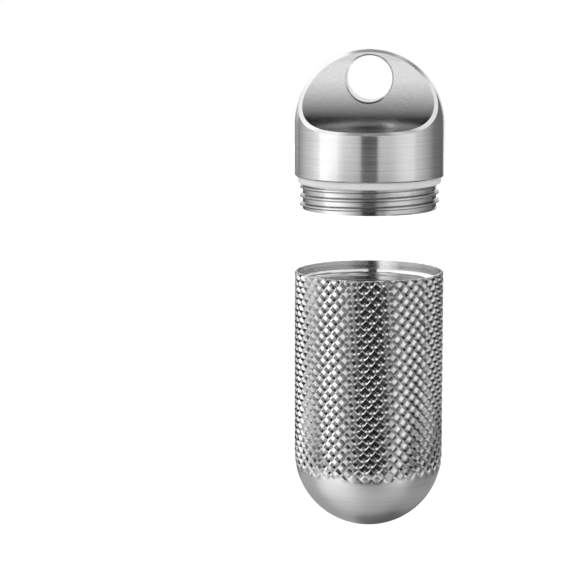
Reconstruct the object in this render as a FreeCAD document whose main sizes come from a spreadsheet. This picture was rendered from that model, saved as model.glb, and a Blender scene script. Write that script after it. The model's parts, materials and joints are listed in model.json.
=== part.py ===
import FreeCAD, Part
import Sketcher
import math
import os

# Pill fob keychain: a screw cap with a hole for a key ring, its seal ring, and a tube that holds pills.
# Millimetres, +Z up. The origin is the centre of the ring hole, which runs along Y.
# The cap is off: the tube hangs below it on the same axis, a whole number of thread turns away.

SIZES = {
    # the capsule that the cap and the tube make together
    "body_diameter": 24.0,
    "cap_straight": 8.2,
    "tube_straight": 29.7,
    "tube_wall": 1.7,
    "edge_break": 0.15,
    # the top of the cap: the ring hole under the top of the dome, and the scoops that leave the web
    "ring_hole_diameter": 7.3,
    "ring_hole_cover": 0.95,
    "ring_hole_bevel": 0.25,
    "web_thickness": 2.0,
    "scoop_radius": 11.0,
    "scoop_drop": 0.4,
    "scoop_bevel": 0.4,
    # the mouth of the tube and the seal ring that fits in it
    "rim_wall": 0.45,
    "mouth_room": 0.3,
    "mouth_gap": 0.05,
    "seal_width": 0.75,
    "seal_thickness": 1.15,
    "seal_round": 0.4,
    "seal_gap": 0.05,
    "seat_relief": 0.2,
    # the screw thread: right-handed, one start
    "thread_length": 3.9,
    "thread_lead": 1.4,
    "thread_depth": 0.5,
    "thread_crest": 0.2,
    "thread_angle": 60.0,
    "thread_clearance": 0.1,
    "thread_overcut": 0.1,
    "thread_relief": 1.6,
    # the diamond knurl: grooves of each hand, their way round per millimetre down, and their section
    "knurl_count_right": 36.0,
    "knurl_count_left": 41.0,
    "knurl_slant_right": 1.168,
    "knurl_slant_left": 0.882,
    "knurl_groove": 0.64,
    "knurl_depth": 0.36,
    # the hollow neck of the cap
    "neck_bevel": 0.5,
    "neck_wall": 2.2,
    "recess_depth": 7.0,
    # how the cap and the tube stand to each other
    "closing_gap": 0.1,
    "open_turns": 11.0,
}

# Radii, from the outside in, as expressions of the sheet's cells.
BODY_RADIUS = "(sizes.body_diameter / 2)"
BORE_RADIUS = f"({BODY_RADIUS} - sizes.tube_wall)"
MOUTH_RADIUS = f"({BODY_RADIUS} - sizes.rim_wall)"
SEAL_RADIUS = f"({MOUTH_RADIUS} - sizes.mouth_gap)"
SEAL_HOLE_RADIUS = f"({SEAL_RADIUS} - sizes.seal_width)"
ROOT_RADIUS = f"({SEAL_HOLE_RADIUS} - sizes.seal_gap)"
CREST_RADIUS = f"({ROOT_RADIUS} + sizes.thread_depth)"
NUT_RADIUS = f"({ROOT_RADIUS} + sizes.thread_clearance)"
GROOVE_RADIUS = f"({CREST_RADIUS} + sizes.thread_clearance)"
RELIEF_RADIUS = f"({GROOVE_RADIUS} + sizes.thread_clearance)"
RECESS_RADIUS = f"({ROOT_RADIUS} - sizes.neck_wall)"

# Heights. The ring hole lies above the centre of the dome, and the shoulder below the ring hole.
RING_HOLE_RISE = f"({BODY_RADIUS} - sizes.ring_hole_cover - sizes.ring_hole_diameter / 2)"
SHOULDER_DROP = f"({RING_HOLE_RISE} + sizes.cap_straight)"
SEAT_LENGTH = "(sizes.seal_gap + sizes.seal_thickness + sizes.seat_relief)"
NECK_LENGTH = f"({SEAT_LENGTH} + sizes.thread_length)"
NECK_END_DROP = f"({SHOULDER_DROP} + {NECK_LENGTH})"
MOUTH_DEPTH = "(sizes.seal_gap + sizes.seal_thickness - sizes.closing_gap + sizes.mouth_room)"

# Sizes that differ by less than this are the same.
SAME_SIZE = 1e-6

# How far a flank of the thread spreads along the axis for each millimetre of depth.
FLANK_SLOPE = "tan(sizes.thread_angle / 2)"


def make_sheet(doc):
    """The spreadsheet of driving dimensions, one row for each."""
    sheet = doc.addObject("Spreadsheet::Sheet", "sizes")
    for row, (name, value) in enumerate(SIZES.items(), start=1):
        sheet.set(f"A{row}", name)
        sheet.set(f"B{row}", str(value))
        sheet.setAlias(f"B{row}", name)
    doc.recompute()
    return sheet


def new_sketch(body, name, role):
    """An empty sketch on one of the body's own origin planes."""
    plane = next(feature for feature in body.Origin.OriginFeatures if feature.Role == role)
    sketch = body.newObject("Sketcher::SketchObject", name)
    sketch.AttachmentSupport = (plane, [""])
    sketch.MapMode = "FlatFace"
    return sketch


def hold_point(sketch, geometry, point, x, y):
    """Ties one point of a sketch to the origin, by two expressions. "0" puts it on the axis."""
    for kind, axis, expression in (("DistanceX", -2, x), ("DistanceY", -1, y)):
        if expression == "0":
            sketch.addConstraint(Sketcher.Constraint("PointOnObject", geometry, point, axis))
            continue
        value = float(sketch.evalExpression(expression))
        number = sketch.addConstraint(Sketcher.Constraint(kind, -1, 1, geometry, point, value))
        sketch.setExpression(f"Constraints[{number}]", expression)


def closed_outline(sketch, corners, domes=()):
    """A closed outline through corners, which are pairs of expressions for x and y.

    The edges whose numbers are in domes are arcs centred on the sketch's vertical axis, and the rest
    are straight.
    """
    points = [FreeCAD.Vector(*(float(sketch.evalExpression(e)) for e in pair), 0) for pair in corners]
    ends = []
    for number, start in enumerate(points):
        finish = points[(number + 1) % len(points)]
        if number in domes:
            rise = (finish.x**2 + finish.y**2 - start.x**2 - start.y**2) / (2 * (finish.y - start.y))
            ends.append(add_dome(sketch, start, finish, FreeCAD.Vector(0, rise, 0)))
        else:
            ends.append((sketch.addGeometry(Part.LineSegment(start, finish)), 1, 2))
    for number, (geometry, start, _) in enumerate(ends):
        before, _, finish = ends[number - 1]
        sketch.addConstraint(Sketcher.Constraint("Coincident", before, finish, geometry, start))
        hold_point(sketch, geometry, start, *corners[number])


def add_dome(sketch, start, finish, centre):
    """An arc about a centre on the vertical axis. Returns its number and its start and finish points."""
    circle = Part.Circle(centre, FreeCAD.Vector(0, 0, 1), (start - centre).Length)
    first = circle.parameter(start)
    last = circle.parameter(finish)
    turns_left = (start - centre).cross(finish - centre).z > 0
    arc = Part.ArcOfCircle(circle, first, last) if turns_left else Part.ArcOfCircle(circle, last, first)
    number = sketch.addGeometry(arc)
    sketch.addConstraint(Sketcher.Constraint("PointOnObject", number, 3, -2))
    return (number, 1, 2) if turns_left else (number, 2, 1)


def add_circle(sketch, x, y, radius):
    """A circle whose centre and radius are expressions."""
    centre = FreeCAD.Vector(float(sketch.evalExpression(x)), float(sketch.evalExpression(y)), 0)
    size = float(sketch.evalExpression(radius))
    circle = sketch.addGeometry(Part.Circle(centre, FreeCAD.Vector(0, 0, 1), size))
    hold_point(sketch, circle, 3, x, y)
    number = sketch.addConstraint(Sketcher.Constraint("Radius", circle, size))
    sketch.setExpression(f"Constraints[{number}]", radius)


def turn(body, name, corners, domes=()):
    """A turned solid: a half section in the XZ plane, revolved about Z."""
    sketch = new_sketch(body, f"{name}_section", "XZ_Plane")
    closed_outline(sketch, corners, domes)
    solid = body.newObject("PartDesign::Revolution", name)
    solid.Profile = sketch
    solid.ReferenceAxis = (sketch, ["V_Axis"])
    solid.Angle = 360
    body.Document.recompute()
    return solid


def cut_through(body, name, sketch):
    """Cuts a sketch's outlines out of the body, both ways from the sketch's plane."""
    before = body.Shape.Volume
    cut = body.newObject("PartDesign::Pocket", name)
    cut.Profile = sketch
    cut.Type = "ThroughAll"
    cut.SideType = "Symmetric"
    body.Document.recompute()
    require(body.Shape.Volume < before, f"{name} cuts nothing")
    return cut


def cut_thread(body, name, corners, height):
    """Cuts a helical groove: a section in the XZ plane that climbs about Z by one lead a turn."""
    before = body.Shape.Volume
    sketch = new_sketch(body, f"{name}_section", "XZ_Plane")
    closed_outline(sketch, corners)
    groove = body.newObject("PartDesign::SubtractiveHelix", name)
    groove.Profile = sketch
    groove.ReferenceAxis = (sketch, ["V_Axis"])
    groove.Mode = "pitch-height-angle"
    groove.setExpression("Pitch", "sizes.thread_lead")
    groove.setExpression("Height", height)
    body.Document.recompute()
    require(body.Shape.Volume < before, f"{name} cuts nothing")
    return groove


def bevel(body, name, edges, size):
    """Bevels edges of the body's last feature, by the width that an expression gives."""
    cut = body.newObject("PartDesign::Chamfer", name)
    cut.Base = (cut.BaseFeature, edges)
    cut.setExpression("Size", size)
    body.Document.recompute()
    return cut


def edges_between(shape, one, other):
    """The names of the edges where a face that passes one test meets a face that passes the other."""
    names = []
    for number, edge in enumerate(shape.Edges, start=1):
        faces = shape.ancestorsOfType(edge, Part.Face)
        if any(one(face) for face in faces) and any(other(face) for face in faces):
            names.append(f"Edge{number}")
    return names


def round_face(sheet, radius, *kinds):
    """A test for a face of one of these kinds of surface, with the radius that an expression gives."""
    size = float(sheet.evalExpression(radius))
    return lambda face: isinstance(face.Surface, kinds) and abs(face.Surface.Radius - size) < SAME_SIZE


def require(condition, message):
    """Stops the build with a message."""
    if not condition:
        raise RuntimeError(message)


def make_cap(doc):
    """The cap: a turned dome and neck, two scoops that leave a web, the ring hole and the male thread."""
    body = doc.addObject("PartDesign::Body", "cap")
    seat_end = f"-({SHOULDER_DROP} + {SEAT_LENGTH})"
    recess_top = f"-({NECK_END_DROP} - sizes.recess_depth)"
    turn(
        body,
        "cap_turning",
        [
            ("0", f"{BODY_RADIUS} - {RING_HOLE_RISE}"),
            (BODY_RADIUS, f"-{RING_HOLE_RISE}"),
            (BODY_RADIUS, f"-{SHOULDER_DROP} + sizes.edge_break"),
            (f"{BODY_RADIUS} - sizes.edge_break", f"-{SHOULDER_DROP}"),
            (ROOT_RADIUS, f"-{SHOULDER_DROP}"),
            (ROOT_RADIUS, seat_end),
            (CREST_RADIUS, seat_end),
            (CREST_RADIUS, f"-{NECK_END_DROP} + sizes.neck_bevel"),
            (f"{CREST_RADIUS} - sizes.neck_bevel", f"-{NECK_END_DROP}"),
            (RECESS_RADIUS, f"-{NECK_END_DROP}"),
            (RECESS_RADIUS, recess_top),
            ("0", recess_top),
        ],
        domes={0},
    )

    # The valley of the thread starts half a lead below the neck and runs out in the seat of the seal.
    valley = f"((sizes.thread_lead - sizes.thread_crest) / 2 - sizes.thread_depth * {FLANK_SLOPE})"
    widest = f"({valley} + (sizes.thread_depth + sizes.thread_overcut) * {FLANK_SLOPE})"
    start = f"-({NECK_END_DROP} + sizes.thread_lead / 2)"
    outside = f"({CREST_RADIUS} + sizes.thread_overcut)"
    cut_thread(
        body,
        "male_thread",
        [
            (ROOT_RADIUS, f"{start} - {valley}"),
            (outside, f"{start} - {widest}"),
            (outside, f"{start} + {widest}"),
            (ROOT_RADIUS, f"{start} + {valley}"),
        ],
        f"{NECK_LENGTH} + sizes.thread_lead / 2 - {SEAT_LENGTH} / 2",
    )

    scoops = new_sketch(body, "scoop_outlines", "YZ_Plane")
    for side in ("", "-"):
        reach = f"{side}(sizes.web_thickness / 2 + sizes.scoop_radius)"
        rise = f"sizes.scoop_radius - sizes.scoop_drop - {RING_HOLE_RISE}"
        add_circle(scoops, reach, rise, "sizes.scoop_radius")
    cut_through(body, "scoops", scoops)

    ring_hole = new_sketch(body, "ring_hole_outline", "XZ_Plane")
    add_circle(ring_hole, "0", "0", "sizes.ring_hole_diameter / 2")
    cut_through(body, "ring_hole", ring_hole)

    on_scoop = round_face(doc.sizes, "sizes.scoop_radius", Part.Cylinder)
    on_skin = round_face(doc.sizes, BODY_RADIUS, Part.Cylinder, Part.Sphere)
    in_hole = round_face(doc.sizes, "sizes.ring_hole_diameter / 2", Part.Cylinder)
    bevel(body, "scoop_bevels", edges_between(body.Shape, on_scoop, on_skin), "sizes.scoop_bevel")
    bevel(body, "hole_bevels", edges_between(body.Shape, on_scoop, in_hole), "sizes.ring_hole_bevel")
    return body


def make_seal_ring(doc):
    """The seal ring, measured up from its lower face. It lies in its seat, just under the shoulder."""
    body = doc.addObject("PartDesign::Body", "seal_ring")
    turn(
        body,
        "seal_turning",
        [
            (SEAL_HOLE_RADIUS, "0"),
            (SEAL_RADIUS, "0"),
            (SEAL_RADIUS, "sizes.seal_thickness"),
            (SEAL_HOLE_RADIUS, "sizes.seal_thickness"),
        ],
    )

    def is_lower(face):
        return isinstance(face.Surface, Part.Plane) and abs(face.CenterOfMass.z) < SAME_SIZE

    is_outside = round_face(doc.sizes, SEAL_RADIUS, Part.Cylinder)
    rounding = body.newObject("PartDesign::Fillet", "seal_rounding")
    rounding.Base = (rounding.BaseFeature, edges_between(body.Shape, is_outside, is_lower))
    rounding.setExpression("Radius", "sizes.seal_round")
    body.setExpression("Placement.Base.z", f"-({SHOULDER_DROP} + sizes.seal_gap + sizes.seal_thickness)")
    doc.recompute()
    return body


def knurl_pitches(sheet):
    """The lengths round the tube from one groove to the next, for the right-hand and the left-hand ones."""
    girth = math.pi * sheet.body_diameter
    return girth / round(sheet.knurl_count_right), girth / round(sheet.knurl_count_left)


def knurl_place(sheet, right, left):
    """The angle round the tube and the depth below the rim, for places among the grooves of either hand.

    The places count the grooves, whose bottoms are at whole numbers.
    """
    pitch_right, pitch_left = knurl_pitches(sheet)
    depth = (left * pitch_left - right * pitch_right) / (sheet.knurl_slant_right + sheet.knurl_slant_left)
    return (right * pitch_right + depth * sheet.knurl_slant_right) * 2 / sheet.body_diameter, depth


def knurl_point(sheet, right, left, radius):
    """The point at places among the grooves of either hand, and at a distance from the axis."""
    angle, depth = knurl_place(sheet, right, left)
    return FreeCAD.Vector(radius * math.sin(angle), -radius * math.cos(angle), -depth)


def shared_point(planes):
    """The point that three planes share, each given by one of its points and its normal."""
    (one, up), (two, across), (three, along) = planes
    total = (
        across.cross(along) * one.dot(up)
        + along.cross(up) * two.dot(across)
        + up.cross(across) * three.dot(along)
    )
    return total * (1 / up.dot(across.cross(along)))


def knurl_diamond(sheet):
    """The corners of one diamond of the knurl: the four groove crossings round it, and its flat top's.

    Each wall is the plane through two crossings and the middle of the groove's edge between them. The top
    is square to the radius. Its plane meets the body's circle over the diamond's left and right corners.
    """
    radius = sheet.body_diameter / 2
    pitch_right, pitch_left = knurl_pitches(sheet)
    near_right = sheet.knurl_groove / 2 * math.hypot(1, sheet.knurl_slant_right) / pitch_right
    near_left = sheet.knurl_groove / 2 * math.hypot(1, sheet.knurl_slant_left) / pitch_left
    width, _ = knurl_place(sheet, 1, 1)
    flat = radius * math.cos(width / 2)
    bottom = radius - sheet.knurl_depth
    crossings = [knurl_point(sheet, *at, bottom) for at in ((0, 0), (1, 0), (1, 1), (0, 1))]
    middles = ((0.5, near_left), (1 - near_right, 0.5), (0.5, 1 - near_left), (near_right, 0.5))
    edges = [knurl_point(sheet, *at, flat) for at in middles]
    walls = []
    for start, finish, edge in zip(crossings, crossings[1:] + crossings[:1], edges):
        walls.append((start, (finish - start).cross(edge - start)))
    middle = knurl_point(sheet, 0.5, 0.5, flat)
    top = (middle, FreeCAD.Vector(middle.x, middle.y, 0))
    corners = [shared_point([top, walls[number - 1], walls[number]]) for number in range(len(walls))]
    return crossings, corners


def flat_face(*corners):
    """A flat face with these corners."""
    return Part.Face(Part.makePolygon([*corners, corners[0]]))


def knurl_core(sheet):
    """A solid with the knurl on its sides, which holds the rest of the tube.

    One diamond is drawn, and repeated by turning it round the tube and moving it down. The diamonds start
    above the rim and end where the dome has sunk below the grooves. From their free sides, triangles run to
    points on the axis: one above the rim, and one twice as far off as the tip of a cone on the dome.
    """
    radius = sheet.body_diameter / 2
    sunk = math.sqrt(radius**2 - (radius - sheet.knurl_depth) ** 2)
    above = FreeCAD.Vector(0, 0, radius)
    below = FreeCAD.Vector(0, 0, -sheet.tube_straight - 2 * radius**2 / sunk)
    _, height = knurl_place(sheet, -1, 1)
    first = -sheet.edge_break - height
    last = sheet.tube_straight + sunk + height

    def is_knurled(right, left):
        return first < knurl_place(sheet, right, left)[1] < last

    crossings, top = knurl_diamond(sheet)
    diamond = [flat_face(*top)]
    for number in range(len(top)):
        diamond.append(flat_face(crossings[number - 1], crossings[number], top[number], top[number - 1]))
    neighbours = ((0, -1, above), (1, 0, above), (0, 1, below), (-1, 0, below))
    faces = []
    for right in range(round(sheet.knurl_count_right)):
        left = math.floor(right * sheet.knurl_count_left / sheet.knurl_count_right)
        while is_knurled(right, left - 1):
            left -= 1
        while is_knurled(right, left):
            angle, depth = knurl_place(sheet, right, left)
            turned = FreeCAD.Rotation(FreeCAD.Vector(0, 0, 1), math.degrees(angle))
            place = FreeCAD.Placement(FreeCAD.Vector(0, 0, -depth), turned).toMatrix()
            faces += [face.transformed(place) for face in diamond]
            for number, (round_by, down_by, tip) in enumerate(neighbours):
                if not is_knurled(right + round_by, left + down_by):
                    side = [crossings[number], crossings[(number + 1) % len(crossings)]]
                    faces.append(flat_face(*[place.multVec(corner) for corner in side], tip))
            left += 1
    return Part.Solid(Part.makeShell(faces))


def make_tube(doc):
    """The tube, measured down from its rim: a knurled, domed cup with a seal counterbore and a thread."""
    body = doc.addObject("PartDesign::Body", "tube_turned")
    neck_reach = f"({NECK_LENGTH} - sizes.closing_gap)"
    relief_top = f"-({neck_reach} - sizes.thread_relief / 2)"
    relief_floor = f"-({neck_reach} + sizes.thread_relief / 2)"
    turn(
        body,
        "tube_turning",
        [
            (MOUTH_RADIUS, "0"),
            (f"{BODY_RADIUS} - sizes.edge_break", "0"),
            (BODY_RADIUS, "-sizes.edge_break"),
            (BODY_RADIUS, "-sizes.tube_straight"),
            ("0", f"-(sizes.tube_straight + {BODY_RADIUS})"),
            ("0", f"-(sizes.tube_straight + {BORE_RADIUS})"),
            (BORE_RADIUS, "-sizes.tube_straight"),
            (BORE_RADIUS, relief_floor),
            (RELIEF_RADIUS, relief_floor),
            (RELIEF_RADIUS, relief_top),
            (NUT_RADIUS, relief_top),
            (NUT_RADIUS, f"-({MOUTH_DEPTH} + {MOUTH_RADIUS} - {NUT_RADIUS})"),
            (MOUTH_RADIUS, f"-{MOUTH_DEPTH}"),
        ],
        domes={3, 5},
    )

    # The groove follows the crest of the male thread of a closed cap, with room on every side.
    crest_room = "(sizes.thread_crest / 2 + sizes.thread_clearance)"
    narrowest = f"({crest_room} - sizes.thread_clearance * {FLANK_SLOPE})"
    inside = f"({NUT_RADIUS} - sizes.thread_overcut)"
    widest = f"({crest_room} + ({CREST_RADIUS} - {inside}) * {FLANK_SLOPE})"
    cut_thread(
        body,
        "female_thread",
        [
            (inside, f"-{neck_reach} - {widest}"),
            (GROOVE_RADIUS, f"-{neck_reach} - {narrowest}"),
            (GROOVE_RADIUS, f"-{neck_reach} + {narrowest}"),
            (inside, f"-{neck_reach} + {widest}"),
        ],
        f"{neck_reach} - {MOUTH_DEPTH} / 2",
    )

    core = doc.addObject("Part::Feature", "knurl_core")
    core.Shape = knurl_core(doc.sizes)
    tube = doc.addObject("Part::Common", "tube")
    tube.Base = body
    tube.Tool = core
    tube.Refine = False

    # Unscrewed from the closed cap by its turns, the tube has come down by as many leads.
    fall = "(sizes.closing_gap + sizes.open_turns * sizes.thread_lead)"
    tube.setExpression("Placement.Base.z", f"-({SHOULDER_DROP} + {fall})")
    tube.setExpression("Placement.Rotation.Angle", "-360 deg * sizes.open_turns")
    doc.recompute()
    require(tube.Shape.Volume < body.Shape.Volume, "the knurl cuts nothing")
    return tube


doc = FreeCAD.newDocument("pill_fob")
make_sheet(doc)
pieces = [make_cap(doc), make_seal_ring(doc), make_tube(doc)]
doc.recompute()

for item in doc.Objects:
    require("Invalid" not in item.State and "Error" not in item.State, f"{item.Label} did not compute")
for piece in pieces:
    sound = not piece.Shape.isNull() and piece.Shape.isValid()
    require(sound and len(piece.Shape.Solids) == 1, f"{piece.Label} is not one sound solid")

os.makedirs("parts", exist_ok=True)
for piece in pieces:
    piece.Shape.Solids[0].exportStep(f"parts/{piece.Label}.step")
    box = piece.Shape.BoundBox
    print(f"{piece.Label}: {piece.Shape.Volume:.1f} mm3, z from {box.ZMin:.2f} to {box.ZMax:.2f}")
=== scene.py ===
import json
import math

import bmesh
import bpy
import numpy as np
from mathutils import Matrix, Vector


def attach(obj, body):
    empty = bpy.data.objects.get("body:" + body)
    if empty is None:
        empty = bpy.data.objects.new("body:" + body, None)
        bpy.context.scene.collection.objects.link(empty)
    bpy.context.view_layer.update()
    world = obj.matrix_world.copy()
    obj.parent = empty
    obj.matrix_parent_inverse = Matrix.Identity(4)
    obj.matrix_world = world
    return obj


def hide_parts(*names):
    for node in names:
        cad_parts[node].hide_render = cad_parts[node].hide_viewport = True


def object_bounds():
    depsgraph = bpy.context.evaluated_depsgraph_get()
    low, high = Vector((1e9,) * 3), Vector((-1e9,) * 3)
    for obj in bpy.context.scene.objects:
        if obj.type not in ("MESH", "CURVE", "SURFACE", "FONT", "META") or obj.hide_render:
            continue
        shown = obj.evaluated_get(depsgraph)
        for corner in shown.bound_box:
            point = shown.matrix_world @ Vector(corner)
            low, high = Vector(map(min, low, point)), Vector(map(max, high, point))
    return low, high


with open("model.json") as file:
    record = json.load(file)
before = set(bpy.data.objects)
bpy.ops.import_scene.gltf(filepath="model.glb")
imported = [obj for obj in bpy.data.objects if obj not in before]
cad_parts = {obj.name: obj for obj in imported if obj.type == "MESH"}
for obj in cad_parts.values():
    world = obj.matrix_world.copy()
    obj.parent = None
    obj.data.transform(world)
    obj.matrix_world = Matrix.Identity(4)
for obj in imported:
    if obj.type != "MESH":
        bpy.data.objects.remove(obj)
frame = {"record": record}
cad_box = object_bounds()


# The cap is one piece of bare aluminium, turned to a dome, a straight band and a threaded neck. A scoop is
# milled from its front and another from its back, which leaves a thin web, and the key ring's hole is bored
# through the web. The edges of the scoops and of the hole are bevelled.
body_radius = 0.0120
ring_hole_radius = frame["record"]["mounts"][0]["dims"]["r_mm"] / 1000
ring_hole_bevel = 0.00025
dome_centre = -0.0074
band_height = 0.0082
shoulder = dome_centre - band_height
edge_break = 0.00015
band_foot = shoulder + edge_break
web_thickness = 0.0020
scoop_radius = 0.0110
scoop_sink = 0.0004
scoop_axis = dome_centre - scoop_sink + scoop_radius
scoop_reach = web_thickness / 2 + scoop_radius
scoop_bevel = 0.0004

dome_angles = np.radians(np.linspace(-90, 90, 181))
lip_steps = 72
strip_steps = np.linspace(-1, 1, 37)
band_steps = np.linspace(0, 1, 25)
face_steps = np.linspace(0, 1, 33)[:, None]
bore_steps = np.linspace(1, -1, 9)
chamfer_rows = 6


def first_root(function, low, high):
    """Where a function that starts above nought falls through it, by halving the span again and again."""
    halvings = 50
    for _ in range(halvings):
        middle = (low + high) / 2
        above = function(middle) > 0
        low = np.where(above, middle, low)
        high = np.where(above, high, middle)
    return (low + high) / 2


def closed(line):
    """A line of points with its first point repeated at its end."""
    return np.concatenate([line, line[:1]])


def scoop_edge(skin, cut):
    """The closed line where a capsule of radius skin meets the front scoop at radius cut.

    Over the dome it is found at even angles about the dome's Y axis, as the depth at which the distance to
    the scoop's axis falls to the cut. Along the lip it is the scoop's height at even angles about Z.
    """

    def outside(depth):
        """The squared distance of the skin at that depth from the scoop's axis, less the cut's square."""
        height = dome_centre + np.sqrt(skin**2 - depth**2) * np.cos(dome_angles)
        return (scoop_reach - depth) ** 2 + (height - scoop_axis) ** 2 - cut**2

    depth = first_root(outside, np.zeros_like(dome_angles), np.full_like(dome_angles, skin))
    arm = np.sqrt(skin**2 - depth**2)
    arch = np.stack([arm * np.sin(dome_angles), -depth, dome_centre + arm * np.cos(dome_angles)], axis=-1)
    corner = np.arccos(depth[-1] / skin)
    turn = np.linspace(corner, -corner, lip_steps + 1)[1:-1]
    height = scoop_axis - np.sqrt(cut**2 - (scoop_reach - skin * np.cos(turn)) ** 2)
    lip = np.stack([skin * np.sin(turn), -skin * np.cos(turn), height], axis=-1)
    return closed(np.concatenate([arch, lip]))


def on_scoop(across, arc):
    """Points of the front scoop from its flat pattern: x, and the length along its arc from level.

    The arc over the scoop's radius is the turn about its axis, which gives the depth and the height.
    """
    turn = arc / scoop_radius
    depth = scoop_radius * np.cos(turn) - scoop_reach
    return np.stack([across, depth, scoop_axis - scoop_radius * np.sin(turn)], axis=-1)


def scoop_patches():
    """The front scoop: its edge's line and bevel, its face, and the bevel of the ring hole.

    The face is drawn in the flat pattern, by straight lines from the hole to the points of the edge.
    """
    skin_line = scoop_edge(body_radius, scoop_radius + scoop_bevel)
    face_line = scoop_edge(body_radius - scoop_bevel, scoop_radius)
    outer = np.arctan2(scoop_axis - face_line[:, 2], scoop_reach + face_line[:, 1]) * scoop_radius
    middle = math.asin(scoop_axis / scoop_radius) * scoop_radius
    slope = np.arctan2(outer - middle, face_line[:, 0])

    def inside(length):
        """How far inside the rim of the hole's bevel a point lies, at that length along its slope."""
        point = on_scoop(length * np.cos(slope), middle + length * np.sin(slope))
        return (ring_hole_radius + ring_hole_bevel) - np.hypot(point[:, 0], point[:, 2])

    length = first_root(inside, np.zeros_like(slope), np.full_like(slope, 2 * ring_hole_radius))
    start = np.stack([length * np.cos(slope), middle + length * np.sin(slope)])
    flat = start[:, None] + face_steps * (np.stack([face_line[:, 0], outer]) - start)[:, None]
    face = on_scoop(*flat)
    hole_turn = np.arctan2(face[0, :, 2], face[0, :, 0])
    height = ring_hole_radius * np.sin(hole_turn)
    sunk = scoop_reach - np.sqrt((scoop_radius + ring_hole_bevel) ** 2 - (height - scoop_axis) ** 2)
    hole_line = np.stack([ring_hole_radius * np.cos(hole_turn), -sunk, height], axis=-1)
    return skin_line, np.stack([skin_line, face_line]), face, np.stack([hole_line, face[0]])


def dome_patch(skin_line):
    """The dome between the scoops: arches about Y, which swing about X from the back edge to the front."""
    reach = np.arcsin(-skin_line[: len(dome_angles), 1] / body_radius)
    swing = strip_steps[:, None] * reach
    arm = body_radius * np.cos(swing)
    height = dome_centre + arm * np.cos(dome_angles)
    return np.stack([arm * np.sin(dome_angles), body_radius * np.sin(swing), height], axis=-1)


def lip_and_side_turns(skin_line):
    """Angles once round Z: even ones along each scoop's lip, and even ones along each side between."""
    corner = np.arccos(-skin_line[len(dome_angles) - 1, 1] / body_radius)
    lip = np.linspace(-corner, corner, lip_steps + 1)
    side = (math.pi / 2 - corner) * strip_steps
    quarters = [lip[:-1], math.pi / 2 + side[:-1], math.pi + lip[:-1], 1.5 * math.pi + side]
    return np.concatenate(quarters) - math.pi / 2


def around(angles, profile):
    """A profile of radius and height, each one number or one for every angle, carried round Z."""
    rings = []
    for radius, height in profile:
        ring = np.broadcast_arrays(radius * np.cos(angles), radius * np.sin(angles), height)
        rings.append(np.stack(ring, axis=-1))
    return np.stack(rings)


def band_patch(angles):
    """The band: straight down to its broken edge, from the scoop's height at the lip or the dome's foot."""
    depth = scoop_reach - body_radius * np.abs(np.sin(angles))
    drop = np.sqrt(np.maximum((scoop_radius + scoop_bevel) ** 2 - depth**2, 0))
    top = np.minimum(scoop_axis - drop, dome_centre)
    return around(angles, [(body_radius, top + step * (band_foot - top)) for step in band_steps])


def make_piece(name, materials, patches, crease):
    """One closed mesh from patches, each the number of its material and points (..., rows, columns, 3).

    Neighbours in the rows and columns of a patch make its faces. Points that fall together become one,
    faces that this leaves with under three corners are dropped, and edges past the crease are sharp.
    """
    together = 1e-7
    points = np.concatenate([grid.reshape(-1, 3) for _, grid in patches])
    faces, marks, start = [], [], 0
    for mark, grid in patches:
        corner = start + np.arange(grid.size // 3).reshape(-1, *grid.shape[-3:-1])
        quads = [corner[:, :-1, :-1], corner[:, 1:, :-1], corner[:, 1:, 1:], corner[:, :-1, 1:]]
        faces.append(np.stack(quads, axis=-1).reshape(-1, 4))
        marks.append(np.full(len(faces[-1]), mark))
        start += grid.size // 3
    cells = np.round(points / together).astype(np.int64)
    _, first, same = np.unique(cells, axis=0, return_index=True, return_inverse=True)
    faces = same.reshape(-1)[np.concatenate(faces)]
    kept = faces != np.roll(faces, 1, axis=1)
    sound = kept.sum(axis=1) > 2
    counts = kept[sound].sum(axis=1)
    corners = faces[sound][kept[sound]]

    mesh = bpy.data.meshes.new(name)
    mesh.vertices.add(len(first))
    mesh.vertices.foreach_set("co", points[first].ravel())
    mesh.loops.add(len(corners))
    mesh.loops.foreach_set("vertex_index", corners)
    mesh.polygons.add(len(counts))
    mesh.polygons.foreach_set("loop_start", np.cumsum(counts) - counts)
    mesh.polygons.foreach_set("material_index", np.concatenate(marks)[sound])
    mesh.update(calc_edges=True)
    mesh.validate()
    shell = bmesh.new()
    shell.from_mesh(mesh)
    bmesh.ops.recalc_face_normals(shell, faces=shell.faces)
    shell.to_mesh(mesh)
    shell.free()
    mesh.shade_smooth()
    mesh.set_sharp_from_angle(angle=crease)
    for material in materials:
        mesh.materials.append(material)
    piece = bpy.data.objects.new(name, mesh)
    bpy.context.scene.collection.objects.link(piece)
    return piece


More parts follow.
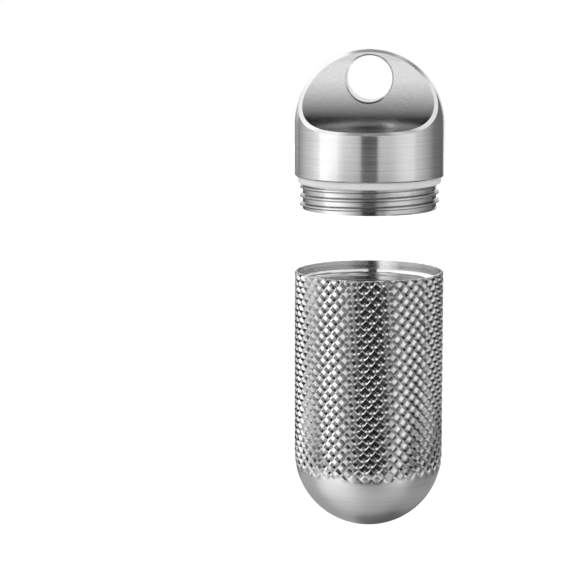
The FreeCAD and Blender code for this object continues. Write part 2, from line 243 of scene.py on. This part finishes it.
def bare_metal(name, colour, roughness, stretch, grain, depth):
    """Bare aluminium with tool marks: noise stretched along the cut tints, roughens and grooves it."""
    low, high = 0.3, 0.7
    dark_tint, light_tint = 0.9, 1.06
    smooth_share, rough_share = 0.85, 1.15
    material = bpy.data.materials.new(name)
    material.use_nodes = True
    nodes, links = material.node_tree.nodes, material.node_tree.links
    shader = nodes["Principled BSDF"]
    shader.inputs["Metallic"].default_value = 1
    shader.inputs["Anisotropic"].default_value = stretch
    shader.inputs["Anisotropic Rotation"].default_value = 0.25
    place = nodes.new("ShaderNodeTexCoord")
    scale = nodes.new("ShaderNodeMapping")
    scale.inputs["Scale"].default_value = grain
    marks = nodes.new("ShaderNodeTexNoise")
    marks.inputs["Scale"].default_value = 1
    marks.inputs["Detail"].default_value = 4
    marks.inputs["Roughness"].default_value = 0.65
    links.new(place.outputs["Object"], scale.inputs["Vector"])
    links.new(scale.outputs["Vector"], marks.inputs["Vector"])
    tint = nodes.new("ShaderNodeValToRGB")
    tint.color_ramp.elements[0].position = low
    tint.color_ramp.elements[0].color = (*[dark_tint * part for part in colour], 1)
    tint.color_ramp.elements[1].position = high
    tint.color_ramp.elements[1].color = (*[min(1, light_tint * part) for part in colour], 1)
    links.new(marks.outputs["Fac"], tint.inputs["Fac"])
    links.new(tint.outputs["Color"], shader.inputs["Base Color"])
    gloss = nodes.new("ShaderNodeMapRange")
    gloss.inputs["From Min"].default_value = low
    gloss.inputs["From Max"].default_value = high
    gloss.inputs["To Min"].default_value = smooth_share * roughness
    gloss.inputs["To Max"].default_value = rough_share * roughness
    links.new(marks.outputs["Fac"], gloss.inputs["Value"])
    links.new(gloss.outputs["Result"], shader.inputs["Roughness"])
    grooves = nodes.new("ShaderNodeBump")
    grooves.inputs["Distance"].default_value = depth
    links.new(marks.outputs["Fac"], grooves.inputs["Height"])
    links.new(grooves.outputs["Normal"], shader.inputs["Normal"])
    if stretch:
        lay = nodes.new("ShaderNodeTangent")
        lay.direction_type = "RADIAL"
        lay.axis = "Z"
        links.new(lay.outputs["Tangent"], shader.inputs["Tangent"])
    return material


def paint_groove_shade(material, share):
    """Paints shade into a metal's colour: it sinks to a share of itself where the groove attribute is high,
    at the bottom of the grooves.
    """
    starts, ends = 0.3, 0.9
    nodes, links = material.node_tree.nodes, material.node_tree.links
    colour = nodes["Principled BSDF"].inputs["Base Color"]
    sunk = nodes.new("ShaderNodeAttribute")
    sunk.attribute_name = "groove"
    # painted shade: the colour's factor, from one down to the share as the groove attribute rises
    light = nodes.new("ShaderNodeMapRange")
    light.inputs["From Min"].default_value = starts
    light.inputs["From Max"].default_value = ends
    light.inputs["To Min"].default_value = 1
    light.inputs["To Max"].default_value = share
    shade = nodes.new("ShaderNodeVectorMath")
    shade.operation = "SCALE"
    links.new(sunk.outputs["Fac"], light.inputs["Value"])
    links.new(colour.links[0].from_socket, shade.inputs[0])
    links.new(light.outputs["Result"], shade.inputs["Scale"])
    links.new(shade.outputs["Vector"], colour)


def mark_grooves(mesh, depth_share):
    """Writes on each point, from nought to one and by a function of x, y, z, where it lies in a groove: the
    mask of the painted shade.
    """
    places = np.empty(3 * len(mesh.vertices), np.float32)
    mesh.vertices.foreach_get("co", places)
    sunk = np.clip(depth_share(*places.reshape(-1, 3).T), 0, 1)
    mesh.attributes.new("groove", "FLOAT", "POINT").data.foreach_set("value", sunk)


skin_line, lip_bevel, scoop_face, hole_bevel = scoop_patches()
cap_turns = lip_and_side_turns(skin_line)
to_back = np.array([1, -1, 1])
bore_scale = np.stack([np.ones_like(bore_steps), bore_steps, np.ones_like(bore_steps)], axis=-1)
bore = hole_bevel[0] * bore_scale[:, None]

neck_root = 0.0107
neck_plain = 0.0014
neck_seat = shoulder - neck_plain
neck_length = 0.0039
neck_end = neck_seat - neck_length
neck_bevel = 0.0005
bevel_top = neck_end + neck_bevel
neck_wall = 0.0022
recess_radius = neck_root - neck_wall
recess_depth = 0.0070
recess_top = neck_end + recess_depth
thread_lead = 0.0014
thread_depth = 0.0005
thread_crest = 0.0002
flank = math.tan(math.radians(30))
valley = (thread_lead - thread_crest) / 2 - thread_depth * flank
valley_middle = neck_end - thread_lead / 2
crest_steps = np.array([0.00045, 0.0006, 0.00065])
valley_steps = np.concatenate([-crest_steps[::-1], [-valley, 0, valley], crest_steps, [thread_lead / 2]])


def thread_rows(angles, middle, steps, low, high):
    """Heights of the rows along a right-handed thread: steps across one lead, which climb a lead a turn."""
    spare = 2
    first = math.floor((low - middle) / thread_lead) - spare
    last = math.ceil((high - middle) / thread_lead) + spare
    rows = (middle + thread_lead * np.arange(first, last)[:, None] + steps).ravel()
    return np.clip(rows[:, None] + thread_lead * angles / (2 * math.pi), low, high)


def thread_distance(angles, heights, middle):
    """How far along Z a point lies from the middle of the nearest turn of a right-handed thread."""
    turns = (heights - middle) / thread_lead - angles / (2 * math.pi)
    return np.abs(turns - np.round(turns)) * thread_lead


def male_radius(angles, heights):
    """The neck's radius: root, flank or crest by the distance from the valley, within its end's bevel."""
    rise = (thread_distance(angles, heights, valley_middle) - valley) / flank
    end = neck_root + thread_depth - neck_bevel + heights - neck_end
    return np.minimum(neck_root + np.clip(rise, 0, thread_depth), end)


# The mask of the painted shade on the neck's thread: darkest half way down each flank.
def thread_share(x, y, z):
    """How far up or down a flank of the neck's thread: one at half depth, nought at root and crest."""
    sunk = (neck_root + thread_depth - np.hypot(x, y)) / thread_depth
    return np.where(z < shoulder, 1 - np.abs(2 * sunk - 1), 0)


thread_heights = thread_rows(cap_turns, valley_middle, valley_steps, bevel_top, neck_seat)
chamfer_heights = np.linspace(neck_end, bevel_top, chamfer_rows)
male_thread = around(cap_turns, [(male_radius(cap_turns, row), row) for row in thread_heights])
neck_chamfer = around(cap_turns, [(male_radius(cap_turns, row), row) for row in chamfer_heights])
shoulder_rings = around(
    cap_turns,
    [
        (body_radius, band_foot),
        (body_radius - edge_break, shoulder),
        (neck_root, shoulder),
        (neck_root, neck_seat),
        (male_radius(cap_turns, neck_seat), neck_seat),
    ],
)
recess_rings = around(
    cap_turns,
    [
        (male_radius(cap_turns, neck_end), neck_end),
        (recess_radius, neck_end),
        (recess_radius, recess_top),
        (0, recess_top),
    ],
)

aluminium = (0.66, 0.66, 0.665)
fresh_aluminium = (0.74, 0.74, 0.745)
turning = {"roughness": 0.24, "stretch": 0.85, "grain": (40, 40, 3000), "depth": 0.000001}
milling = {"roughness": 0.24, "stretch": 0.0, "grain": (1500, 9000, 9000), "depth": 0.000001}
thread_shade_share = 0.15
cap_crease = math.radians(20)
turned = bare_metal("turned_aluminium", aluminium, **turning)
milled = bare_metal("milled_aluminium", fresh_aluminium, **milling)
# A copy of the turned aluminium with painted shade on the thread's flanks.
threaded = bare_metal("threaded_aluminium_painted_shade", aluminium, **turning)
paint_groove_shade(threaded, thread_shade_share)
cap = make_piece(
    "cap_turned_and_scooped",
    [turned, milled, threaded],
    [
        (0, dome_patch(skin_line)),
        (0, band_patch(cap_turns)),
        (0, shoulder_rings),
        (2, male_thread),
        (2, neck_chamfer),
        (0, recess_rings),
        (1, bore),
        (1, np.stack([lip_bevel, lip_bevel * to_back])),
        (1, np.stack([scoop_face, scoop_face * to_back])),
        (1, np.stack([hole_bevel, hole_bevel * to_back])),
    ],
    cap_crease,
)
mark_grooves(cap.data, thread_share)
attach(cap, "cap")
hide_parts("cap")


# The seal is a moulded ring of white silicone, rounded where it meets the tube's mouth. It is stretched
# over the neck and lies against the shoulder.
seal_radius = 0.0115
seal_hole = 0.01075
seal_gap = 0.00005
seal_top = shoulder - seal_gap
seal_thickness = 0.00115
seal_foot = seal_top - seal_thickness
seal_round = 0.0004
seal_ease = 0.00008
seal_white = (0.86, 0.86, 0.85)
seal_crease = math.radians(40)
seal_turns = np.radians(np.linspace(0, 360, 241))
corner_points = 9


def rounded_corner(radius, height, size, first):
    """Points of a rounded corner: a quarter circle of that size inside it, from its first angle on."""
    turn = np.radians(first + np.linspace(0, 90, corner_points))
    middle = math.radians(first + 45)
    centre = radius - size * np.sign(math.cos(middle))
    rise = height - size * np.sign(math.sin(middle))
    return list(zip(centre + size * np.cos(turn), rise + size * np.sin(turn)))


def silicone(name, colour):
    """Moulded silicone: matt, with a fine cloudy noise that tints it and stands for the mould's texture."""
    low, high = 0.3, 0.7
    dark_tint = 0.94
    texture_depth = 0.00001
    material = bpy.data.materials.new(name)
    material.use_nodes = True
    nodes, links = material.node_tree.nodes, material.node_tree.links
    shader = nodes["Principled BSDF"]
    shader.inputs["Roughness"].default_value = 0.5
    shader.inputs["IOR"].default_value = 1.41
    place = nodes.new("ShaderNodeTexCoord")
    cloud = nodes.new("ShaderNodeTexNoise")
    cloud.inputs["Scale"].default_value = 900
    cloud.inputs["Detail"].default_value = 5
    links.new(place.outputs["Object"], cloud.inputs["Vector"])
    tint = nodes.new("ShaderNodeValToRGB")
    tint.color_ramp.elements[0].position = low
    tint.color_ramp.elements[0].color = (*[dark_tint * part for part in colour], 1)
    tint.color_ramp.elements[1].position = high
    tint.color_ramp.elements[1].color = (*colour, 1)
    links.new(cloud.outputs["Fac"], tint.inputs["Fac"])
    links.new(tint.outputs["Color"], shader.inputs["Base Color"])
    skin = nodes.new("ShaderNodeBump")
    skin.inputs["Distance"].default_value = texture_depth
    links.new(cloud.outputs["Fac"], skin.inputs["Height"])
    links.new(skin.outputs["Normal"], shader.inputs["Normal"])
    return material


seal_profile = (
    rounded_corner(seal_radius, seal_foot, seal_round, -90)
    + rounded_corner(seal_radius, seal_top, seal_ease, 0)
    + rounded_corner(seal_hole, seal_top, seal_ease, 90)
    + rounded_corner(seal_hole, seal_foot, seal_ease, 180)
)
seal = make_piece(
    "seal_ring_moulded",
    [silicone("white_silicone", seal_white)],
    [(0, around(seal_turns, seal_profile + seal_profile[:1]))],
    seal_crease,
)
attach(seal, "seal")
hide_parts("seal_ring")


# The tube is a deep cup of bare aluminium with a round, satin bottom. Grooves are rolled into its outside
# both ways and leave flat-topped diamonds, down to where the bottom curves away. The mouth has a
# counterbore for the seal, a bevel and the female thread, by which the tube screws onto the cap's neck.
open_gap = 0.0155
tube_rim = shoulder - open_gap
tube_straight = 0.0297
tube_dome = tube_rim - tube_straight
knurl_count_right = 36
knurl_count_left = 41
knurl_slant_right = 1.168
knurl_slant_left = 0.882
knurl_depth = 0.00036
knurl_samples = np.array([0, 0.26, 0.5, 0.74, 1])
knurl_depths = np.array([1, 0, 0, 0, 1]) * knurl_depth
knurl_foot = 0.00295
satin_start = 0.0019


def knurl_points():
    """The knurled outside, on a grid that follows both sets of grooves.

    The phases a and b count the right-hand and left-hand grooves. A right-hand groove goes right by its
    slant for each step down and a left-hand one goes left by its own, so the depth below the rim is b's
    length round the tube less a's, over the sum of the slants. The angle is a's length plus the depth times
    its slant, over the radius. The radius is the lesser of the capsule's and of the deeper groove's. Cells
    past the rim and the foot are squeezed onto them.
    """
    pitch_right = 2 * math.pi * body_radius / knurl_count_right
    pitch_left = 2 * math.pi * body_radius / knurl_count_left
    slants = knurl_slant_right + knurl_slant_left
    foot = tube_straight + knurl_foot
    strips = np.arange(knurl_count_right)[:, None, None]
    a = strips + knurl_samples[:, None]
    cells = np.arange(-2, math.ceil(foot * slants / pitch_left) + 4)
    b = np.floor(strips * pitch_right / pitch_left) + np.unique(cells[:, None] + knurl_samples)
    depth = np.clip((b * pitch_left - a * pitch_right) / slants, 0, foot)
    b = (depth * slants + a * pitch_right) / pitch_left
    angle = (a * pitch_right + depth * knurl_slant_right) / body_radius - math.pi / 2
    groove_right = np.interp(a % 1, knurl_samples, knurl_depths)
    groove_left = np.interp(b % 1, knurl_samples, knurl_depths)
    below = np.maximum(depth - tube_straight, 0)
    capsule = np.minimum(np.sqrt(body_radius**2 - below**2), body_radius - edge_break + depth)
    radius = np.minimum(capsule, body_radius - np.maximum(groove_right, groove_left))
    return np.stack([radius * np.cos(angle), radius * np.sin(angle), tube_rim - depth], axis=-1)


def knurl_edge(column):
    """The points of one column of the knurl's grid, in a line once round the tube."""
    return np.concatenate([knurl[:, :-1, column].reshape(-1, 3), knurl[-1, -1:, column]])


def turns_of(line):
    """The angles round Z of the points of a line, without a jump."""
    return np.unwrap(np.arctan2(line[:, 1], line[:, 0]))


def satin_column():
    """The grid's column where the satin begins: the last groove before the mean height passes its start."""
    first = np.argmax(knurl[..., 2].mean(axis=(0, 1)) < tube_dome - satin_start)
    return first - first % (len(knurl_samples) - 1)


knurl = knurl_points()
fade = satin_column()
knurl_rim = knurl_edge(0)
rim_turns = turns_of(knurl_rim)
end_turns = turns_of(knurl_edge(-1))

mouth_radius = 0.01155
counterbore_depth = 0.0014
mouth_floor = tube_rim - counterbore_depth
nut_radius = 0.0108
nut_top = mouth_floor - (mouth_radius - nut_radius)
nut_depth = 0.0044
nut_foot = tube_rim - nut_depth
relief_radius = 0.0114
relief_depth = 0.0060
relief_foot = tube_rim - relief_depth
bore_radius = 0.0103
groove_drop = 0.0052
groove_middle = tube_rim - groove_drop
groove_flat = 0.000142
groove_half = groove_flat + thread_depth * flank
side_steps = np.array([groove_flat, 0.0003, groove_half, 0.00065])
groove_steps = np.concatenate([-side_steps[::-1], [0], side_steps, [thread_lead / 2]])
mouth_rows = 12
bowl_rows = 31
bottom_rows = 41


def female_radius(angles, heights):
    """The mouth's radius below the counterbore: its bevel or the thread's bore, or the groove if wider."""
    distance = thread_distance(angles, heights, groove_middle)
    rise = np.clip((groove_half - distance) / flank, 0, thread_depth)
    return np.maximum(nut_radius + np.maximum(heights - nut_top, 0), nut_radius + rise)


def ball_profile(radius, first, rows):
    """Radius and height down a ball about the dome's centre, at even angles from the first to the pole."""
    turns = np.linspace(first, math.pi / 2, rows)
    return [(radius * math.cos(turn), tube_dome - radius * math.sin(turn)) for turn in turns]


# The mask of the painted shade in the knurl's grooves.
def knurl_share(x, y, z):
    """How far a point lies below the capsule's surface, as a share of the knurl's depth."""
    crest = np.sqrt(np.maximum(body_radius**2 - np.maximum(tube_dome - z, 0) ** 2, 0))
    return (crest - np.hypot(x, y)) / knurl_depth


nut_heights = thread_rows(rim_turns, groove_middle, groove_steps, nut_foot, nut_top)
mouth_heights = np.linspace(nut_top, mouth_floor, mouth_rows)
female_thread = around(rim_turns, [(female_radius(rim_turns, row), row) for row in nut_heights])
mouth_bevel = around(rim_turns, [(female_radius(rim_turns, row), row) for row in mouth_heights])
counterbore = around(rim_turns, [(mouth_radius, tube_rim), (mouth_radius, mouth_floor)])
rim_rings = np.concatenate([knurl_rim[None], counterbore])
pill_space = around(
    rim_turns,
    [
        (female_radius(rim_turns, nut_foot), nut_foot),
        (relief_radius, nut_foot),
        (relief_radius, relief_foot),
        (bore_radius, relief_foot),
        *ball_profile(bore_radius, 0, bowl_rows),
    ],
)
foot_turn = math.asin(knurl_foot / body_radius)
bottom = around(end_turns, ball_profile(body_radius, foot_turn, bottom_rows))

rolling = {"roughness": 0.20, "stretch": 0.2, "grain": (900, 900, 3000), "depth": 0.000002}
brushing = {"roughness": 0.36, "stretch": 0.5, "grain": (40, 40, 3000), "depth": 0.000001}
knurl_shade_share = 0.75
tube_crease = math.radians(15)
# The knurl's metal, with painted shade down its grooves.
knurled = bare_metal("knurled_aluminium_painted_shade", aluminium, **rolling)
paint_groove_shade(knurled, knurl_shade_share)
satin = bare_metal("satin_aluminium", aluminium, **brushing)
tube = make_piece(
    "tube_knurled",
    [knurled, turned, satin],
    [
        (0, knurl[:, :, : fade + 1]),
        (2, knurl[:, :, fade:]),
        (2, bottom),
        (1, rim_rings),
        (1, mouth_bevel),
        (1, female_thread),
        (1, pill_space),
    ],
    tube_crease,
)
mark_grooves(tube.data, knurl_share)
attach(tube, "tube")
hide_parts("tube")


# The studio: a white floor well below the hanging fob, a white surround, and three soft boxes, two in front
# on either side and one high on the left. Cards of paper that only the metal sees, grey, black or bright,
# draw the lines and edges on it; each group of them is for one part of the fob.
floor_height = -0.30
floor_reach = 3.0
fob_middle = (cad_box[0] + cad_box[1]) / 2
box_distance = 0.5


def sheet(name, corners, material):
    """A flat sheet with those corners, which is not part of the fob."""
    mesh = bpy.data.meshes.new(name)
    mesh.from_pydata(corners, [], [range(len(corners))])
    mesh.materials.append(material)
    made = bpy.data.objects.new(name, mesh)
    bpy.context.scene.collection.objects.link(made)
    return made


def level(left, right, front, back, height):
    """Corners of a level sheet between two places across and two in depth."""
    return [(left, front, height), (right, front, height), (right, back, height), (left, back, height)]


def facing(left, right, depth, low, high):
    """Corners of an upright sheet that faces the front, at one depth."""
    return [(left, depth, low), (right, depth, low), (right, depth, high), (left, depth, high)]


def sideways(across, front, back, low, high):
    """Corners of an upright sheet that faces a side, at one place across."""
    return [(across, front, low), (across, back, low), (across, back, high), (across, front, high)]


def at(bearing, distance, height):
    """A point by its bearing in degrees to the right of the front, its distance from Z and its height."""
    turn = math.radians(bearing)
    return distance * math.sin(turn), -distance * math.cos(turn), height


def upright(first, last, distance, low, high):
    """Corners of an upright sheet between two bearings at one distance from Z."""
    foot = [at(first, distance, low), at(last, distance, low)]
    head = [at(last, distance, high), at(first, distance, high)]
    return foot + head


def seen_directly(tree):
    """One for a ray from the camera, or from it by a reflection or through glass, and otherwise nought."""
    path = tree.nodes.new("ShaderNodeLightPath")
    total = path.outputs["Is Camera Ray"]
    for kind in ("Is Glossy Ray", "Is Transmission Ray"):
        either = tree.nodes.new("ShaderNodeMath")
        either.operation = "MAXIMUM"
        tree.links.new(total, either.inputs[0])
        tree.links.new(path.outputs[kind], either.inputs[1])
        total = either.outputs["Value"]
    return total


def white_floor():
    """White paper: it takes the fob's shadow, and where it is seen it is lifted to the surround's white."""
    paper_grey = 0.85
    material = bpy.data.materials.new("white_paper")
    material.use_nodes = True
    tree = material.node_tree
    shader = tree.nodes["Principled BSDF"]
    shader.inputs["Base Color"].default_value = (paper_grey, paper_grey, paper_grey, 1)
    shader.inputs["Roughness"].default_value = 0.9
    shader.inputs["Emission Color"].default_value = (1, 1, 1, 1)
    lift = tree.nodes.new("ShaderNodeMath")
    lift.operation = "MULTIPLY"
    lift.inputs[1].default_value = 0.5
    tree.links.new(seen_directly(tree), lift.inputs[0])
    tree.links.new(lift.outputs["Value"], shader.inputs["Emission Strength"])
    return material


def white_surround():
    """A white world: full white where it is seen, and less as the fill that lights matt things."""
    world = bpy.data.worlds.new("white_surround")
    world.use_nodes = True
    tree = world.node_tree
    fill = tree.nodes["Background"]
    fill.inputs["Color"].default_value = (1, 1, 1, 1)
    fill.inputs["Strength"].default_value = 0.7
    white = tree.nodes.new("ShaderNodeBackground")
    white.inputs["Color"].default_value = (1, 1, 1, 1)
    white.inputs["Strength"].default_value = 1
    choose = tree.nodes.new("ShaderNodeMixShader")
    tree.links.new(seen_directly(tree), choose.inputs["Fac"])
    tree.links.new(fill.outputs["Background"], choose.inputs[1])
    tree.links.new(white.outputs["Background"], choose.inputs[2])
    tree.links.new(choose.outputs["Shader"], tree.nodes["World Output"].inputs["Surface"])
    return world


def card_paper():
    """Paper that shows the grey written on the corners of its card, whatever light falls on it."""
    material = bpy.data.materials.new("grey_card")
    material.use_nodes = True
    nodes, links = material.node_tree.nodes, material.node_tree.links
    shader = nodes["Principled BSDF"]
    shader.inputs["Base Color"].default_value = (0, 0, 0, 1)
    shader.inputs["Specular IOR Level"].default_value = 0
    shader.inputs["Emission Color"].default_value = (1, 1, 1, 1)
    grey = nodes.new("ShaderNodeAttribute")
    grey.attribute_name = "grey"
    links.new(grey.outputs["Fac"], shader.inputs["Emission Strength"])
    return material


def card(name, corners, greys):
    """A card that shows only in reflections, with one grey, or a grey for each of its corners."""
    made = sheet(name, corners, paper)
    written = np.full(len(corners), greys, np.float32)
    made.data.attributes.new("grey", "FLOAT", "POINT").data.foreach_set("value", written)
    made.visible_camera = False
    made.visible_diffuse = False
    made.visible_transmission = False
    made.visible_shadow = False


def soft_box(name, bearing, lift, width, height, radiance):
    """A soft box aimed at the fob's middle. Its power is its radiance times its area times pi."""
    lamp = bpy.data.lights.new(name, "AREA")
    lamp.shape = "RECTANGLE"
    lamp.size = width
    lamp.size_y = height
    lamp.energy = radiance * width * height * math.pi
    made = bpy.data.objects.new(name, lamp)
    turn, rise = math.radians(bearing), math.radians(lift)
    out = Vector((math.sin(turn) * math.cos(rise), -math.cos(turn) * math.cos(rise), math.sin(rise)))
    made.location = fob_middle + box_distance * out
    made.rotation_euler = (-out).to_track_quat("-Z", "Y").to_euler()
    bpy.context.scene.collection.objects.link(made)


sheet("floor", level(-floor_reach, floor_reach, -floor_reach, floor_reach, floor_height), white_floor())
bpy.context.scene.world = white_surround()
paper = card_paper()

# Cards for the dark stripe down the band, and for the face of the scoop.
card("front_card", facing(-0.0076, 0.0170, -0.06, -0.06, 0.003), 0)
card("scoop_card", facing(-0.0105, 0.0085, -0.016, -0.0018, 0.0026), [1.15, 1.15, 1.0, 1.0])

# Cards in a ring round the tube, for the knurl: black in front, bright on either side of that.
tube_ring = 0.09
ring_foot = -0.115
ring_top = -0.030
side_top = -0.040
card("tube_card", upright(-10, 27, tube_ring, -0.122, ring_top), 0)
card("tube_left_card", upright(-34, -10, tube_ring, ring_foot, ring_top), [1.2, 0.0, 0.0, 1.2])
card("tube_right_card", upright(27, 42, tube_ring, ring_foot, ring_top), [0.0, 1.2, 0.9, 0.0])
card("tube_side_card", upright(42, 90, tube_ring, ring_foot, side_top), 1.2)
card("tube_far_card", upright(90, 112, tube_ring, ring_foot, side_top), [1.2, 0.15, 0.15, 1.2])

# Cards for the thread, the mouth and the lower edges of the knurl.
card("thread_right_card", upright(36, 110, 0.05, -0.034, -0.0228), [0.75, 0.3, 0.3, 0.75])
card("thread_back_card", facing(-0.05, 0.05, 0.052, -0.036, -0.0232), 0.05)
card("mouth_wall_card", facing(-0.0098, -0.0022, -0.003, -0.037, -0.0312), [0.7, 1.8, 1.8, 0.7])
card("mouth_dark_card", facing(-0.0022, 0.0045, -0.003, -0.046, -0.0312), 0)
card("left_skirt_card", level(-0.045, -0.018, -0.02, 0.045, -0.066), 0.03)
card("right_skirt_card", level(0.018, 0.045, -0.02, 0.045, -0.066), 0.03)

# Cards far round the fob, for the band's greys and the dark outlines of the cap and the tube.
far_ring = 0.62
far_foot = -0.26
far_top = 0.50
card("front_left_card", upright(-46, -4, 0.40, -0.22, 0.02), [1.5, 0.55, 0.55, 1.5])
card("front_right_card", upright(15, 85, far_ring, far_foot, far_top), [0.85, 0.8, 0.8, 0.95])
card("right_card", upright(85, 120, far_ring, far_foot, far_top), [0.8, 0.22, 0.22, 0.8])
card("right_back_card", upright(120, 160, far_ring, far_foot, far_top), [0.22, 0.15, 0.15, 0.22])
card("left_card", upright(-177, -95, far_ring, far_foot, -0.015), [0.0, 0.95, 0.95, 0.0])
card("tube_back_card", upright(-179, -122, 0.12, -0.10, ring_top), 0.2)

# Cards at the sides and below, for the edges of the cap and for the satin bottom.
beside = 0.05
under_height = -0.22
under_front = -0.30
under_middle = 0.03
under_back = 0.50
card("low_left_card", sideways(-beside, -0.02, 0.045, -0.088, -0.062), 0.65)
card("low_right_card", sideways(beside, -0.02, 0.045, -0.095, -0.062), 0.3)
card("near_left_card", sideways(-beside, -0.008, 0.040, -0.045, -0.002), [0.95, 0.2, 0.2, 0.95])
card("under_card", level(-0.20, 0, under_front, under_middle, under_height), [1.9, 0.85, 0.5, 0.95])
card("under_near_card", level(0, 0.20, under_front, under_middle, under_height), [0.85, 0.85, 0.4, 0.5])
card("under_far_card", level(0.20, 0.50, under_front, under_middle, under_height), [0.3, 0.3, 0.1, 0.1])
card("under_back_card", level(-0.03, 0.07, under_middle, under_back, under_height), 0.03)
card("under_left_card", level(-0.50, -0.03, under_middle, under_back, under_height), [0.5, 0.4, 0.4, 0.5])
card("under_right_card", level(0.07, 0.50, under_middle, under_back, under_height), 0.4)

# Cards above and beside the cap, for the dome, and a visor over the thread.
over_height = 0.25
over_middle = -0.20
over_back = 0.06
card("over_card", level(-0.10, 0.09, over_middle, over_back, over_height), [0.75, 0.75, 0.06, 0.06])
card("over_front_card", level(-0.20, 0.20, -0.34, over_middle, over_height), [0.9, 0.9, 0.75, 0.75])
card("visor_card", level(-0.025, 0.025, -0.046, -0.018, -0.020), 0.35)
card("left_top_card", upright(-76, -34, far_ring, 0.13, 0.75), 0.3)
card("right_top_card", upright(35, 97, 0.50, 0.20, 0.80), 0.1)
card("rim_right_card", upright(70, 100, 0.05, 0.015, 0.05), 1.1)
card("flank_card", upright(45, 69, 0.06, -0.010, 0.030), 1.0)
near_edge = [(-0.12, over_back, over_height), (0.11, over_back, over_height)]
far_edge = [(0.30, 0.60, over_height), (-0.30, 0.60, over_height)]
card("over_back_card", near_edge + far_edge, 0)

# Two bright half discs in the mouth, which its walls see from below, and a black disc just over them,
# which the cap sees from above.
disc_radius = 0.0113
disc_height = -0.0309
shade_height = -0.0308
half_points = 35
disc_points = 72
for name, hand, grey, first in (("mouth_left_card", -1, 1.4, 5), ("mouth_right_card", 1, 1.8, 1)):
    bearings = hand * np.linspace(first, 180 - first, half_points)
    card(name, [at(bearing, disc_radius, disc_height) for bearing in bearings], grey)
bearings = np.linspace(0, 360, disc_points + 1)[:-1]
disc = [at(bearing, disc_radius, shade_height) for bearing in bearings]
card("mouth_shade", disc, 0)

soft_box("left_soft_box", bearing=-61, lift=25, width=0.34, height=0.90, radiance=0.6)
soft_box("right_soft_box", bearing=55, lift=5, width=0.42, height=0.44, radiance=0.32)
soft_box("top_left_soft_box", bearing=-82, lift=34, width=0.17, height=0.24, radiance=1.9)


# The camera looks slightly down from the front, a little to the right of the web's middle.
camera_bearing = math.radians(4.5)
camera_distance = 0.400
camera_height = 0.0278
aim_height = -0.0340
aim_left = 0.0131
film_width = 36
lens_length = 156.4

camera = bpy.data.objects.new("camera", bpy.data.cameras.new("camera"))
camera.data.sensor_width = film_width
camera.data.lens = lens_length
camera.location = (
    camera_distance * math.sin(camera_bearing),
    -camera_distance * math.cos(camera_bearing),
    camera_height,
)
aim = Vector((-aim_left * math.cos(camera_bearing), -aim_left * math.sin(camera_bearing), aim_height))
camera.rotation_euler = (aim - camera.location).to_track_quat("-Z", "Y").to_euler()
camera.data.clip_start = 0.01
bpy.context.scene.collection.objects.link(camera)
bpy.context.scene.camera = camera
bpy.context.scene.view_settings.view_transform = "Standard"
